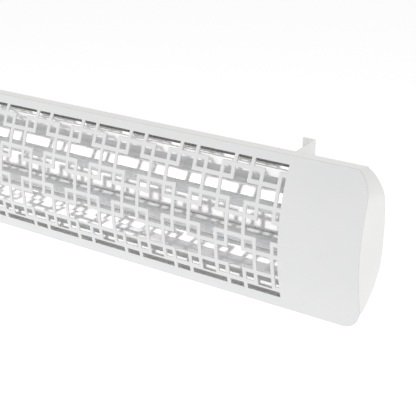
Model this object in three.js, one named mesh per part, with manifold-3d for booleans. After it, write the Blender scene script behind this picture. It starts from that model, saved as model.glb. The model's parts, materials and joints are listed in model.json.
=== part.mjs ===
// Wall-mounted infrared strip heater: two quartz lamps in a polished reflector behind a curved,
// pierced front sheet, carried by two wall brackets that let the whole heater tilt downwards.
// Millimetres. +X along the heater, +Z up, -Y towards the room; Y = 0 is the wall.
// The origin is on the wall, midway between the brackets, level with the tilt axis.
import * as THREE from 'three';
import { mergeVertices } from 'three/addons/utils/BufferGeometryUtils.js';
import Module from 'manifold-3d';

const wasm = await Module();
wasm.setup();

// ---------------------------------------------------------------- driving dimensions
const BODY_LENGTH = 905.4;
const TOP_Z = 95.5;
const BOTTOM_Z = -96.5;
const CORNER_RADIUS = 29;
// Each top corner is a wider arc. It is tangent to the heater's end and meets the top at the seam.
const TOP_CORNER_RADIUS = 40;
const CAP_LENGTH = 21.7;
const SHEET = 1.5;
const GAP = 0.3;

// Front sheet: an arc through its top edge, its foremost point and its bottom edge (y, z).
const FACE_TOP = [-72, TOP_Z];
const FACE_BULGE = [-98.5, -8];
const FACE_BOTTOM = [-86, BOTTOM_Z];
const FACE_FACETS = 12;

// Lattice: a repeating pattern of crossing bars, measured along the arc from the window's top.
const REPEAT = 89.4;
const REPEATS = 7.5;
const WINDOW_LENGTH = REPEAT * REPEATS;
const WINDOW_TOP_Z = 85;
const WINDOW_HEIGHT = 170.6;
const BOTTOM_SLOT = 7.5;
const BAR_WIDTH = 5.5;
const BAR_STOPS = { a1: 0.0945, a2: 0.4, b1: 0.6, b2: 0.905 };
const ROW_COUNT = 4;
const FIRST_ROW = 21.5;
const ROW_PITCH = 43.3;
const ROW_HEIGHT = 16.2;
const RAIL_HEIGHT = 2.6;

// Rear housing profile (y, z), from the top rear corner round to the bottom edge.
const REAR_POINTS = [[-53, TOP_Z], [-48.5, 72], [-45, 40], [-46.5, 8], [-50.5, -20], [-61, -43], [-73.3, -59]];
const HOUSING_FLOOR_Z = BOTTOM_Z + SHEET + GAP;
const HOUSING_HEEL = [[-74.5, -72], [-74.5, HOUSING_FLOOR_Z]];
const CAP_TIP = [-88, -74];

// Lamps.
const LAMP_Y = -71;
const LAMP_Z = 23;
const TUBE_RADIUS = 8;
const TUBE_WALL = 1.2;
const TUBE_END_X = 331.7;
const BULKHEAD_X = 338.7;
const REFLECTOR_SHEET = 0.8;
const CERAMIC_RADIUS = 9;
const HOLDER_X = 350.7;
const UPPER_TROUGH = [[-70, 79.5], [-64, 72], [-61, 60], [-50, 37], [-56.5, 22], [-60, 10], [-60, -11.5]];
const LOWER_TROUGH = [[-60.5, -12.5], [-56.5, -22], [-60.5, -32], [-73.5, -50], [-82, -60], [-77.8, -72], [-77.8, -85]];

// Wiring and cable inlet.
const LEAD_RADIUS = 1.2;
const LEAD_Y = -53.5;
const LEAD_Z = 0;
const LEAD_SPREAD = 4.5;
const TERMINAL_X = 380.7;
const TERMINAL_Y = -62;
const GLAND_X = 391.7;
const GLAND_Z = 38;
const GLAND_WALL_Y = -45;
const GLAND_SHANK = 6;

// Tilt bracket.
const ARM_X = 319.3;
const ARM_SHEET = 2;
const PIVOT_Y = -26;
const PIVOT_Z = 0;
const WALL_PLATE_WIDTH = 19.5;
const ARM_FRONT_Y = -42;
const ARM_FRONT_TOP_Z = 90.9;
const BRACKET_TOP_Z = 98.3;
const BRACKET_BOTTOM_Z = -14.5;
const STOP_RADIUS = 30;
const STOP_ANGLE = 25;
const TILT_RANGE = 40;
const STOP_PIN_RADIUS = 2;
const LUG_SHEET = 2;
const LUG_WIDTH = 20;
const BOLT_RADIUS = 3;
const WASHER_SHEET = 1.6;
const KNOB_RADIUS = 14;
const KNOB_DEPTH = 12;
const KNOB_HOLLOWS = 6;
const KNOB_X = ARM_X + WASHER_SHEET + 2 * GAP;
const INSERT_RADIUS = 5.5;
const SCREW_RADIUS = 2;
const WALL_SCREW_X = 308.5;
const WALL_SCREWS = [0, 80];
const LUG_SCREW_X = 304;
const LUG_SCREWS = [24, -12];
const LUG_TOP_Z = 38;
const LUG_BOTTOM_Z = -26;
const EAR_BACK = [[-16, 38], [-8, 31], [-8, 26], [-15, 2], [-21, -10], [-30, -13]];
const FLANGE_Y = -74;
const FACE_SCREW_Y = -78.5;
const FACE_SCREWS = [-290, 0, 290];

// ---------------------------------------------------------------- materials
function material(color, roughness, metalness) {
  return new THREE.MeshStandardMaterial({ color, roughness, metalness });
}
const finish = {
  whitePaint: () => material(0xe9ebea, 0.45, 0),
  capPaint: () => material(0xf0efec, 0.5, 0),
  bracketPaint: () => material(0xd6d8d6, 0.5, 0),
  reflector: () => material(0xd8dadd, 0.18, 1),
  steel: () => material(0xb4b6b8, 0.35, 1),
  quartz: () => material(0xe8ecef, 0.1, 0),
  filament: () => material(0x6d655c, 0.4, 1),
  ceramic: () => material(0xe6e1d6, 0.6, 0),
  black: () => material(0x222324, 0.55, 0),
  wire: () => material(0xcfc9bd, 0.6, 0),
  brass: () => material(0xc2a15a, 0.3, 1),
};

// ---------------------------------------------------------------- solids
const rad = THREE.MathUtils.degToRad;

function solidOf(geometry) {
  const bare = geometry.clone();
  bare.deleteAttribute('normal');
  bare.deleteAttribute('uv');
  const merged = mergeVertices(bare, 1e-3);
  return new wasm.Manifold(new wasm.Mesh({
    numProp: 3,
    vertProperties: merged.attributes.position.array,
    triVerts: new Uint32Array(merged.index.array),
  }));
}

function geometryOf(solid) {
  const mesh = solid.getMesh();
  const geometry = new THREE.BufferGeometry();
  geometry.setAttribute('position', new THREE.BufferAttribute(mesh.vertProperties, 3));
  geometry.setIndex(new THREE.BufferAttribute(mesh.triVerts, 1));
  geometry.computeVertexNormals();
  return geometry;
}

function shapeOf(points) {
  return new THREE.Shape(points.map(([a, b]) => new THREE.Vector2(a, b)));
}

function extruded(shape, length) {
  return new THREE.ExtrudeGeometry(shape, { depth: length, bevelEnabled: false, curveSegments: 8 });
}

// An outline in (y, z) run along X from x0 to x1.
function alongX(points, x0, x1) {
  const turn = new THREE.Matrix4().makeBasis(
    new THREE.Vector3(0, 1, 0), new THREE.Vector3(0, 0, 1), new THREE.Vector3(1, 0, 0));
  const geometry = extruded(points instanceof THREE.Shape ? points : shapeOf(points), x1 - x0);
  return solidOf(geometry.applyMatrix4(turn).translate(x0, 0, 0));
}

// An outline in (x, z) run along Y from y0 to y1.
function alongY(points, y0, y1) {
  const turn = new THREE.Matrix4().makeBasis(
    new THREE.Vector3(1, 0, 0), new THREE.Vector3(0, 0, 1), new THREE.Vector3(0, -1, 0));
  const geometry = extruded(points instanceof THREE.Shape ? points : shapeOf(points), y1 - y0);
  return solidOf(geometry.applyMatrix4(turn).translate(0, y1, 0));
}

function box(x0, x1, y0, y1, z0, z1) {
  const geometry = new THREE.BoxGeometry(x1 - x0, y1 - y0, z1 - z0);
  return solidOf(geometry.translate((x0 + x1) / 2, (y0 + y1) / 2, (z0 + z1) / 2));
}

function rodX(radius, x0, x1, y, z, sides = 16) {
  const geometry = new THREE.CylinderGeometry(radius, radius, x1 - x0, sides);
  return solidOf(geometry.rotateZ(-Math.PI / 2).translate((x0 + x1) / 2, y, z));
}

function rodZ(radius, z0, z1, x, y, sides = 12) {
  const geometry = new THREE.CylinderGeometry(radius, radius, z1 - z0, sides);
  return solidOf(geometry.rotateX(Math.PI / 2).translate(x, y, (z0 + z1) / 2));
}

function rodY(radius, y0, y1, x, z, sides = 16) {
  const geometry = new THREE.CylinderGeometry(radius, radius, y1 - y0, sides);
  return solidOf(geometry.translate(x, (y0 + y1) / 2, z));
}

function mirrored(solid) {
  return solid.mirror([1, 0, 0]);
}

// ---------------------------------------------------------------- the object's sections
function circleThrough(a, b, c) {
  const [ax, ay, bx, by, cx, cy] = [...a, ...b, ...c];
  const d = 2 * (ax * (by - cy) + bx * (cy - ay) + cx * (ay - by));
  const [aa, bb, cc] = [ax * ax + ay * ay, bx * bx + by * by, cx * cx + cy * cy];
  const x = (aa * (by - cy) + bb * (cy - ay) + cc * (ay - by)) / d;
  const y = (aa * (cx - bx) + bb * (ax - cx) + cc * (bx - ax)) / d;
  return { y: x, z: y, radius: Math.hypot(ax - x, ay - y) };
}
const faceArc = circleThrough(FACE_TOP, FACE_BULGE, FACE_BOTTOM);

// Front surface, moved inwards along the arc's radius by depth.
function faceY(z, depth = 0) {
  return faceArc.y - Math.sqrt((faceArc.radius - depth) ** 2 - (z - faceArc.z) ** 2);
}

// Height of the point that lies s along the arc below the window's top edge.
function heightAt(s) {
  const start = Math.asin((WINDOW_TOP_Z - faceArc.z) / faceArc.radius);
  return faceArc.z + faceArc.radius * Math.sin(start - s / faceArc.radius);
}

function facePoints(depth, z0 = BOTTOM_Z, z1 = TOP_Z) {
  const points = [];
  for (let i = 0; i <= FACE_FACETS; i++) {
    const z = z0 + (z1 - z0) * i / FACE_FACETS;
    points.push([faceY(z, depth), z]);
  }
  return points;
}

const rearCurve = new THREE.SplineCurve(REAR_POINTS.map(([y, z]) => new THREE.Vector2(y, z)));
const REAR_STEPS = 14;

// Points down the rear profile, moved inwards (towards the room) by depth.
function rearPoints(depth, tail) {
  const points = [];
  const steps = [];
  for (let i = 0; i <= REAR_STEPS; i++) steps.push(rearCurve.getPoint(i / REAR_STEPS));
  steps.push(...tail.map(([y, z]) => new THREE.Vector2(y, z)));
  steps.forEach((point, i) => {
    const before = steps[Math.max(i - 1, 0)];
    const after = steps[Math.min(i + 1, steps.length - 1)];
    const along = after.clone().sub(before).normalize();
    points.push([point.x + depth * along.y, point.y - depth * along.x]);
  });
  return points;
}

function rearY(z) {
  const steps = 60;
  for (let i = 0; i < steps; i++) {
    const a = rearCurve.getPoint(i / steps);
    const b = rearCurve.getPoint((i + 1) / steps);
    if (a.y >= z && z >= b.y) return a.x + (b.x - a.x) * (a.y - z) / (a.y - b.y);
  }
  return REAR_POINTS[0][0];
}

// Front-view outline with rounded corners.
function heaterOutline(inset) {
  const shape = new THREE.Shape();
  const topRadius = TOP_CORNER_RADIUS - inset;
  const topX = HALF - TOP_CORNER_RADIUS;
  const drop = Math.sqrt(TOP_CORNER_RADIUS ** 2 - (TOP_CORNER_RADIUS - CAP_LENGTH) ** 2);
  const turn = Math.asin((drop - inset) / topRadius);
  shape.absarc(topX, TOP_Z - drop, topRadius, 0, turn, false);
  shape.absarc(-topX, TOP_Z - drop, topRadius, Math.PI - turn, Math.PI, false);
  const footRadius = CORNER_RADIUS - inset;
  const footX = HALF - CORNER_RADIUS;
  const footZ = BOTTOM_Z + CORNER_RADIUS;
  shape.absarc(-footX, footZ, footRadius, Math.PI, 1.5 * Math.PI, false);
  shape.absarc(footX, footZ, footRadius, 1.5 * Math.PI, 2 * Math.PI, false);
  return shape;
}
const HALF = BODY_LENGTH / 2;
const SEAM_X = HALF - CAP_LENGTH;

// ---------------------------------------------------------------- front sheet and its lattice
// Bars a1, a2, b1 and b2 repeat along the sheet. Each row has an upper and a lower line: one line
// runs from b2 over the wide a1-a2 gap to b1, the other from a2 over the wide b1-b2 gap to a1.
function latticeBars() {
  const bars = [];
  const halfBar = BAR_WIDTH / 2;
  const endBar = BAR_STOPS.a1 * REPEAT;
  const bar = (u0, u1, s0, s1, inset = -1) => {
    const from = Math.max(u0, inset);
    const to = Math.min(u1, WINDOW_LENGTH - inset);
    if (to - from < BAR_WIDTH / 2) return;
    const middle = WINDOW_LENGTH / 2;
    bars.push(box(middle - to, middle - from, FACE_BULGE[0] - 10, FACE_TOP[0] + 30, heightAt(s1), heightAt(s0)));
  };
  const upper = (row) => FIRST_ROW + row * ROW_PITCH - ROW_HEIGHT / 2;
  const lower = (row) => FIRST_ROW + row * ROW_PITCH + ROW_HEIGHT / 2;
  const railFoot = WINDOW_HEIGHT - BOTTOM_SLOT;
  bar(-1, WINDOW_LENGTH + 1, railFoot - RAIL_HEIGHT, railFoot);
  const aStretches = [[upper(0), lower(1)], [upper(2), lower(3)]];
  const bStretches = [[-2, lower(0)], [upper(1), lower(2)], [upper(3), WINDOW_HEIGHT + 2]];
  for (let n = -1; n <= REPEATS; n++) {
    const at = (stop) => (n + stop) * REPEAT;
    const overA = [at(BAR_STOPS.b2 - 1), at(BAR_STOPS.b1)];
    const overB = [at(BAR_STOPS.a2), at(BAR_STOPS.a1 + 1)];
    for (let row = 0; row < ROW_COUNT; row++) {
      const even = row % 2 === 0;
      const outer = row === 0 || row === ROW_COUNT - 1;
      const aLine = even ? lower(row) : upper(row);
      const bLine = even ? upper(row) : lower(row);
      bar(overA[0] - halfBar, overA[1] + halfBar, aLine - halfBar, aLine + halfBar, outer ? endBar : -1);
      bar(overB[0] - halfBar, overB[1] + halfBar, bLine - halfBar, bLine + halfBar);
    }
    for (const [stops, stretches] of [[['a1', 'a2'], aStretches], [['b1', 'b2'], bStretches]]) {
      for (const stop of stops) {
        for (const [s0, s1] of stretches) {
          const u = at(BAR_STOPS[stop]);
          if (u > 0 && u < WINDOW_LENGTH) bar(u - halfBar, u + halfBar, s0 - halfBar, s1 + halfBar);
        }
      }
    }
  }
  return bars;
}

function frontSheet() {
  const sheet = alongX([...facePoints(0), ...facePoints(SHEET).reverse()], -HALF, HALF);
  const outline = alongY(heaterOutline(0), -130, 0);
  const y0 = FACE_BULGE[0] - 8;
  const y1 = FACE_TOP[0] + 20;
  const halfWindow = WINDOW_LENGTH / 2;
  let openings = box(-halfWindow, halfWindow, y0, y1, heightAt(WINDOW_HEIGHT), heightAt(0));
  for (const bar of latticeBars()) openings = openings.subtract(bar);
  const flangeX = SEAM_X - 9;
  let flange = box(-flangeX, flangeX, FACE_BOTTOM[0] + 0.5, FLANGE_Y, BOTTOM_Z, BOTTOM_Z + SHEET);
  for (const x of FACE_SCREWS) flange = flange.subtract(rodZ(SCREW_RADIUS + GAP, BOTTOM_Z - 1, -90, x, FACE_SCREW_Y));
  return sheet.intersect(outline).subtract(openings).add(flange);
}

// ---------------------------------------------------------------- housing, end caps, plates
// The closed section between the front sheet and the rear profile, moved inwards by depth.
function sectionRegion(depth, tail, floorZ, x0, x1) {
  const roof = TOP_Z - depth;
  const front = facePoints(SHEET + GAP, floorZ, TOP_Z);
  const whole = alongX([...front, ...rearPoints(depth, tail)], x0, x1);
  return whole.intersect(box(x0, x1, -120, 0, floorZ + depth, roof));
}

// The same section run forwards through the front sheet, to cut a hollow that is open in front.
function hollowRegion(depth, tail, floorZ, x0, x1) {
  const front = facePoints(-6, floorZ, TOP_Z);
  const whole = alongX([...front, ...rearPoints(depth, tail)], x0, x1);
  return whole.intersect(box(x0, x1, -120, 0, floorZ + depth, TOP_Z - depth));
}

function rearHousing() {
  const x = SEAM_X - GAP;
  let housing = sectionRegion(0, HOUSING_HEEL, HOUSING_FLOOR_Z, -x, x)
    .subtract(hollowRegion(SHEET, HOUSING_HEEL, HOUSING_FLOOR_Z, -x - 1, x + 1));
  for (const { x: screwX, z } of lugScrews()) {
    housing = housing.subtract(rodY(SCREW_RADIUS + GAP, -70, -30, screwX, z, 12));
  }
  for (const screwX of FACE_SCREWS) {
    housing = housing.subtract(rodZ(SCREW_RADIUS + GAP, -97, -90, screwX, FACE_SCREW_Y));
  }
  return housing.subtract(rodY(GLAND_SHANK + GAP, -70, -30, GLAND_X, GLAND_Z));
}

function endCap() {
  const outline = (inset) => alongY(heaterOutline(inset), -130, 0);
  const tip = CAP_TIP[1];
  const outside = sectionRegion(0, [CAP_TIP], tip, SEAM_X, HALF).intersect(outline(0));
  const inside = hollowRegion(SHEET, [CAP_TIP], tip - SHEET, SEAM_X - 1, HALF - SHEET).intersect(outline(SHEET));
  return outside.subtract(inside);
}

// A plate across the inside of the housing.
function crossPlate(x0) {
  const clear = SHEET + GAP;
  const front = facePoints(SHEET + 2 * GAP, HOUSING_FLOOR_Z, TOP_Z);
  const whole = alongX([...front, ...rearPoints(clear, HOUSING_HEEL)], x0, x0 + SHEET);
  return whole.intersect(box(x0, x0 + SHEET, -120, 0, HOUSING_FLOOR_Z + clear, TOP_Z - clear));
}

function bulkhead() {
  let plate = crossPlate(BULKHEAD_X);
  for (const z of [LAMP_Z, -LAMP_Z]) {
    plate = plate.subtract(rodX(CERAMIC_RADIUS + 1, BULKHEAD_X - 5, BULKHEAD_X + 5, LAMP_Y, z));
  }
  return plate.subtract(rodX(LEAD_SPREAD + 2.5, BULKHEAD_X - 5, BULKHEAD_X + 5, LEAD_Y, LEAD_Z, 16));
}

// ---------------------------------------------------------------- reflector and lamps
// A sheet folded along a line of (y, z) points, its thickness on the side away from the lamps.
function foldedSheet(points, sheet, x0, x1) {
  const back = points.map(([y, z], i) => {
    const [y0, z0] = points[Math.max(i - 1, 0)];
    const [y1, z1] = points[Math.min(i + 1, points.length - 1)];
    const length = Math.hypot(y1 - y0, z1 - z0);
    return [y - sheet * (z1 - z0) / length, z + sheet * (y1 - y0) / length];
  });
  return alongX([...points, ...back.reverse()], x0, x1);
}

function reflector(points) {
  const end = BULKHEAD_X - GAP;
  return foldedSheet(points, REFLECTOR_SHEET, -end, end);
}

function quartzTube(z) {
  return rodX(TUBE_RADIUS, -TUBE_END_X, TUBE_END_X, LAMP_Y, z, 24)
    .subtract(rodX(TUBE_RADIUS - TUBE_WALL, -TUBE_END_X - 1, TUBE_END_X + 1, LAMP_Y, z, 24));
}

function filament(z) {
  return rodX(1.2, -TUBE_END_X + GAP, TUBE_END_X - GAP, LAMP_Y, z, 8);
}

function ceramicCap(z) {
  const x = TUBE_END_X + GAP;
  return rodX(CERAMIC_RADIUS, x, HOLDER_X - GAP, LAMP_Y, z);
}

function lampHolder(z) {
  const foot = BULKHEAD_X + SHEET + GAP;
  const reach = CERAMIC_RADIUS + GAP;
  let holder = box(HOLDER_X, HOLDER_X + 12, LAMP_Y - reach - 2, LAMP_Y + reach + 2, z - 9, z + 9);
  for (const y of [LAMP_Y - reach - 2, LAMP_Y + reach]) {
    holder = holder.add(box(foot, HOLDER_X + 1, y, y + 2, z - 9, z + 9));
  }
  return holder;
}

// ---------------------------------------------------------------- wiring
function tubeAlong(points, radius, steps) {
  const path = new THREE.CatmullRomCurve3(points.map(([x, y, z]) => new THREE.Vector3(x, y, z)));
  const section = new THREE.Shape();
  section.absarc(0, 0, radius, 0, 2 * Math.PI, false);
  const geometry = new THREE.ExtrudeGeometry(section, { extrudePath: path, steps, curveSegments: 4 });
  return solidOf(geometry);
}

function terminalBlock() {
  let block = box(TERMINAL_X, TERMINAL_X + 22, TERMINAL_Y - 7, TERMINAL_Y + 7, -20, 20);
  for (const z of [-7, 7]) {
    block = block.subtract(box(TERMINAL_X - 1, TERMINAL_X + 23, TERMINAL_Y - 8, TERMINAL_Y - 1, z - 1, z + 1));
  }
  return block;
}

function nearLead(z) {
  const start = HOLDER_X + 12 + GAP;
  const end = TERMINAL_X - GAP;
  const side = Math.sign(z);
  return tubeAlong([
    [start, LAMP_Y, z], [start + 5, LAMP_Y, z], [end - 6, TERMINAL_Y, side * 14], [end, TERMINAL_Y, side * 14],
  ], LEAD_RADIUS, 12);
}

// From the left-hand holder, straight along behind the reflector to the terminals.
function farLead(z) {
  const start = HOLDER_X + 12 + GAP;
  const side = Math.sign(z);
  const runZ = LEAD_Z + side * LEAD_SPREAD;
  const turnX = start + 8 - side * 5;
  const rise = tubeAlong([
    [-start, LAMP_Y, z], [-start - 5, LAMP_Y, z], [-turnX - 2, LEAD_Y - 9, z * 0.7],
    [-turnX + 4, LEAD_Y - 3, runZ + side * 3], [-turnX + 12, LEAD_Y, runZ], [-turnX + 22, LEAD_Y, runZ],
  ], LEAD_RADIUS, 18);
  const run = rodX(LEAD_RADIUS, -turnX + 18, BULKHEAD_X + 6, LEAD_Y, runZ, 12);
  const drop = tubeAlong([
    [BULKHEAD_X + 4, LEAD_Y, runZ], [BULKHEAD_X + 14, LEAD_Y, runZ], [TERMINAL_X - 12, LEAD_Y - 4, runZ],
    [TERMINAL_X - 6, TERMINAL_Y, side * 4], [TERMINAL_X - 2 * GAP, TERMINAL_Y, side * 4],
  ], LEAD_RADIUS, 14);
  return rise.add(run).add(drop);
}

function cableGland() {
  const wall = GLAND_WALL_Y + GAP;
  return rodY(9, wall, wall + 8, GLAND_X, GLAND_Z, 6)
    .add(rodY(7, wall + 7, wall + 14, GLAND_X, GLAND_Z))
    .add(rodY(GLAND_SHANK, wall - 9, wall + 1, GLAND_X, GLAND_Z))
    .subtract(rodY(4, wall - 12, wall + 20, GLAND_X, GLAND_Z));
}

function glandNut() {
  const wall = GLAND_WALL_Y - SHEET - 2 * GAP;
  return rodY(10, wall - 4, wall, GLAND_X, GLAND_Z, 6)
    .subtract(rodY(GLAND_SHANK + GAP, wall - 6, wall + 2, GLAND_X, GLAND_Z));
}

// ---------------------------------------------------------------- brackets and tilt hardware
const stopRest = rad(90 - STOP_ANGLE);
const stopEnd = stopRest + rad(TILT_RANGE);
const STOP_Y = PIVOT_Y + STOP_RADIUS * Math.cos(stopRest);
const STOP_Z = PIVOT_Z + STOP_RADIUS * Math.sin(stopRest);

function stopSlot() {
  const halfWidth = STOP_PIN_RADIUS + 0.4;
  const at = (angle) => [PIVOT_Y + STOP_RADIUS * Math.cos(angle), PIVOT_Z + STOP_RADIUS * Math.sin(angle)];
  const slot = new THREE.Shape();
  slot.absarc(PIVOT_Y, PIVOT_Z, STOP_RADIUS + halfWidth, stopRest, stopEnd, false);
  slot.absarc(...at(stopEnd), halfWidth, stopEnd, stopEnd + Math.PI, false);
  slot.absarc(PIVOT_Y, PIVOT_Z, STOP_RADIUS - halfWidth, stopEnd, stopRest, true);
  slot.absarc(...at(stopRest), halfWidth, stopRest + Math.PI, stopRest + 2 * Math.PI, false);
  return slot;
}

function wallBracket() {
  const arm = new THREE.Shape();
  arm.moveTo(0, BRACKET_BOTTOM_Z);
  arm.lineTo(0, BRACKET_TOP_Z);
  arm.lineTo(ARM_FRONT_Y, ARM_FRONT_TOP_Z);
  arm.lineTo(ARM_FRONT_Y, 12);
  arm.absarc(PIVOT_Y, PIVOT_Z, -BRACKET_BOTTOM_Z, rad(155), rad(270), false);
  const inner = ARM_X - ARM_SHEET;
  const plateInner = ARM_X - WALL_PLATE_WIDTH;
  let bracket = alongX(arm, inner, ARM_X)
    .subtract(alongX(stopSlot(), inner - 1, ARM_X + 1))
    .subtract(rodX(BOLT_RADIUS + GAP, inner - 1, ARM_X + 1, PIVOT_Y, PIVOT_Z))
    .add(box(plateInner, ARM_X, -ARM_SHEET, 0, BRACKET_BOTTOM_Z, BRACKET_TOP_Z));
  for (const z of WALL_SCREWS) bracket = bracket.subtract(rodY(2.75, -5, 5, WALL_SCREW_X, z, 12));
  return bracket;
}

function lugScrews() {
  const screws = [];
  for (const side of [-1, 1]) {
    for (const z of LUG_SCREWS) screws.push({ x: side * LUG_SCREW_X, z });
  }
  return screws;
}

function tiltLug() {
  const back = (offset) => {
    const points = [];
    for (let i = 0; i <= 8; i++) {
      const z = LUG_BOTTOM_Z + (LUG_TOP_Z - LUG_BOTTOM_Z) * i / 8;
      points.push([rearY(z) + offset, z]);
    }
    return points;
  };
  const earX = ARM_X - ARM_SHEET - GAP;
  const ear = alongX([...back(GAP), ...EAR_BACK], earX - LUG_SHEET, earX);
  const flange = alongX([...back(GAP), ...back(GAP + LUG_SHEET).reverse()], earX - LUG_WIDTH, earX);
  let lug = ear.add(flange)
    .subtract(rodX(BOLT_RADIUS + GAP, earX - 5, earX + 1, PIVOT_Y, PIVOT_Z))
    .subtract(rodX(STOP_PIN_RADIUS + GAP, earX - 5, earX + 1, STOP_Y, STOP_Z, 12));
  for (const z of LUG_SCREWS) lug = lug.subtract(rodY(SCREW_RADIUS + GAP, -70, -30, LUG_SCREW_X, z, 12));
  return lug;
}

function lugScrew(x, z) {
  const seat = rearY(z) + LUG_SHEET + 3 * GAP;
  return rodY(4, seat, seat + 2.4, x, z, 12).add(rodY(SCREW_RADIUS, seat - 6, seat + 1, x, z, 12));
}

function pivotBolt() {
  const seat = ARM_X - ARM_SHEET - LUG_SHEET - 2 * GAP;
  return rodX(5.5, seat - 4, seat, PIVOT_Y, PIVOT_Z, 6)
    .add(rodX(BOLT_RADIUS, seat - 1, KNOB_X + KNOB_DEPTH - 4, PIVOT_Y, PIVOT_Z, 12));
}

function ringX(outer, inner, x0, x1, sides = 20) {
  return rodX(outer, x0, x1, PIVOT_Y, PIVOT_Z, sides).subtract(rodX(inner, x0 - 1, x1 + 1, PIVOT_Y, PIVOT_Z, 12));
}

function stopPin() {
  const x = ARM_X - ARM_SHEET - LUG_SHEET - GAP;
  return rodX(STOP_PIN_RADIUS, x - 3, ARM_X + 1.5, STOP_Y, STOP_Z, 12)
    .add(rodX(STOP_PIN_RADIUS + 1.5, x - 3, x - GAP, STOP_Y, STOP_Z, 12));
}

// A round knob with finger hollows, blind-bored for its threaded insert.
function clampKnob() {
  let knob = rodX(KNOB_RADIUS, KNOB_X, KNOB_X + KNOB_DEPTH, PIVOT_Y, PIVOT_Z, 28);
  for (let i = 0; i < KNOB_HOLLOWS; i++) {
    const angle = 2 * Math.PI * (i + 0.5) / KNOB_HOLLOWS;
    const y = PIVOT_Y + (KNOB_RADIUS + 3) * Math.cos(angle);
    const z = PIVOT_Z + (KNOB_RADIUS + 3) * Math.sin(angle);
    knob = knob.subtract(rodX(5, KNOB_X + 2, KNOB_X + KNOB_DEPTH + 1, y, z, 12));
  }
  return knob.subtract(rodX(INSERT_RADIUS + GAP, KNOB_X - 1, KNOB_X + KNOB_DEPTH - 3, PIVOT_Y, PIVOT_Z, 12));
}

// ---------------------------------------------------------------- assembly
const heater = new THREE.Group();

function place(name, solid, meshMaterial) {
  const mesh = new THREE.Mesh(geometryOf(solid), meshMaterial);
  mesh.name = name;
  heater.add(mesh);
}

function placePair(name, solid, makeMaterial) {
  place(`${name}_right`, solid, makeMaterial());
  place(`${name}_left`, mirrored(solid), makeMaterial());
}

placePair('wall_bracket', wallBracket(), finish.bracketPaint);
place('front_sheet', frontSheet(), finish.whitePaint());
place('rear_housing', rearHousing(), finish.whitePaint());
placePair('end_cap', endCap(), finish.capPaint);
placePair('end_plate', crossPlate(SEAM_X - 4), finish.steel);
placePair('lamp_bulkhead', bulkhead(), finish.reflector);
place('reflector_upper', reflector(UPPER_TROUGH), finish.reflector());
place('reflector_lower', reflector(LOWER_TROUGH), finish.reflector());

for (const [level, z] of [['upper', LAMP_Z], ['lower', -LAMP_Z]]) {
  place(`quartz_tube_${level}`, quartzTube(z), finish.quartz());
  place(`filament_${level}`, filament(z), finish.filament());
  placePair(`ceramic_cap_${level}`, ceramicCap(z), finish.ceramic);
  placePair(`lamp_holder_${level}`, lampHolder(z), finish.steel);
  place(`near_lead_${level}`, nearLead(z), finish.wire());
  place(`far_lead_${level}`, farLead(z), finish.wire());
}
place('terminal_block', terminalBlock(), finish.black());
place('cable_gland', cableGland(), finish.black());
place('gland_nut', glandNut(), finish.black());

placePair('tilt_lug', tiltLug(), finish.steel);
placePair('pivot_bolt', pivotBolt(), finish.steel);
placePair('pivot_washer', ringX(9, BOLT_RADIUS + GAP, ARM_X + GAP, ARM_X + GAP + WASHER_SHEET), finish.steel);
placePair('stop_pin', stopPin(), finish.steel);
placePair('clamp_knob', clampKnob(), finish.black);
placePair('knob_insert', ringX(INSERT_RADIUS, BOLT_RADIUS + GAP, KNOB_X, KNOB_X + KNOB_DEPTH - 3.3, 12), finish.brass);
for (const [level, z] of [['top', LUG_SCREWS[0]], ['bottom', LUG_SCREWS[1]]]) {
  placePair(`lug_screw_${level}`, lugScrew(LUG_SCREW_X, z), finish.steel);
}
for (const [side, x] of [['left', FACE_SCREWS[0]], ['middle', FACE_SCREWS[1]], ['right', FACE_SCREWS[2]]]) {
  const head = rodZ(3.6, BOTTOM_Z - GAP - 1.6, BOTTOM_Z - GAP, x, FACE_SCREW_Y, 12);
  const shank = rodZ(SCREW_RADIUS, BOTTOM_Z - GAP - 1, BOTTOM_Z + 9, x, FACE_SCREW_Y, 12);
  place(`face_screw_${side}`, head.add(shank), finish.steel());
}

export default heater;
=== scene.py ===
"""Looks of the infrared strip heater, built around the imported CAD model.

Shapes are worked out in millimetres, in the model's own frame, and stored in metres.
"""

import json
import math

import bmesh
import bpy
from mathutils import Matrix, Vector


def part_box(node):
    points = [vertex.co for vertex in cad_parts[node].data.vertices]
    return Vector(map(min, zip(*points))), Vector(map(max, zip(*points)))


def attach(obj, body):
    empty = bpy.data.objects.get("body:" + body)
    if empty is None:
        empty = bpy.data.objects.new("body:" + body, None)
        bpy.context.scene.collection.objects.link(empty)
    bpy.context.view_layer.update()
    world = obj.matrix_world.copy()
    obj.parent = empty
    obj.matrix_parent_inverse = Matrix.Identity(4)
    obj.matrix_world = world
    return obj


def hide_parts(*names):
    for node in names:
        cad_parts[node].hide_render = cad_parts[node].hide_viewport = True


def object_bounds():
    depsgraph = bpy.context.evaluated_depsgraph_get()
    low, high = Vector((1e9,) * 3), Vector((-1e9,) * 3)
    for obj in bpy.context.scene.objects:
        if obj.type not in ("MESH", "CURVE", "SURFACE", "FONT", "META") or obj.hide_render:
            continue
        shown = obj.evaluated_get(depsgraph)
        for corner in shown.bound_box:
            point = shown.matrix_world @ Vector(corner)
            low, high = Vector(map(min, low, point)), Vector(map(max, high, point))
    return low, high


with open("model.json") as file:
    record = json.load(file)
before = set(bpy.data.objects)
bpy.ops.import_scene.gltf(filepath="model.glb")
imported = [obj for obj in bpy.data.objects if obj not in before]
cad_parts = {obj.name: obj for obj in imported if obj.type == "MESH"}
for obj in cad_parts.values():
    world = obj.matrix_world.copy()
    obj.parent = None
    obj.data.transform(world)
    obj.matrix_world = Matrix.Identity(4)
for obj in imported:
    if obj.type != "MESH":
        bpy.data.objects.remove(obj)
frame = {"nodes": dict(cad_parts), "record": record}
cad_low, cad_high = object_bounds()
MM = 0.001
SIDES = {"right": 1, "left": -1}

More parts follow.
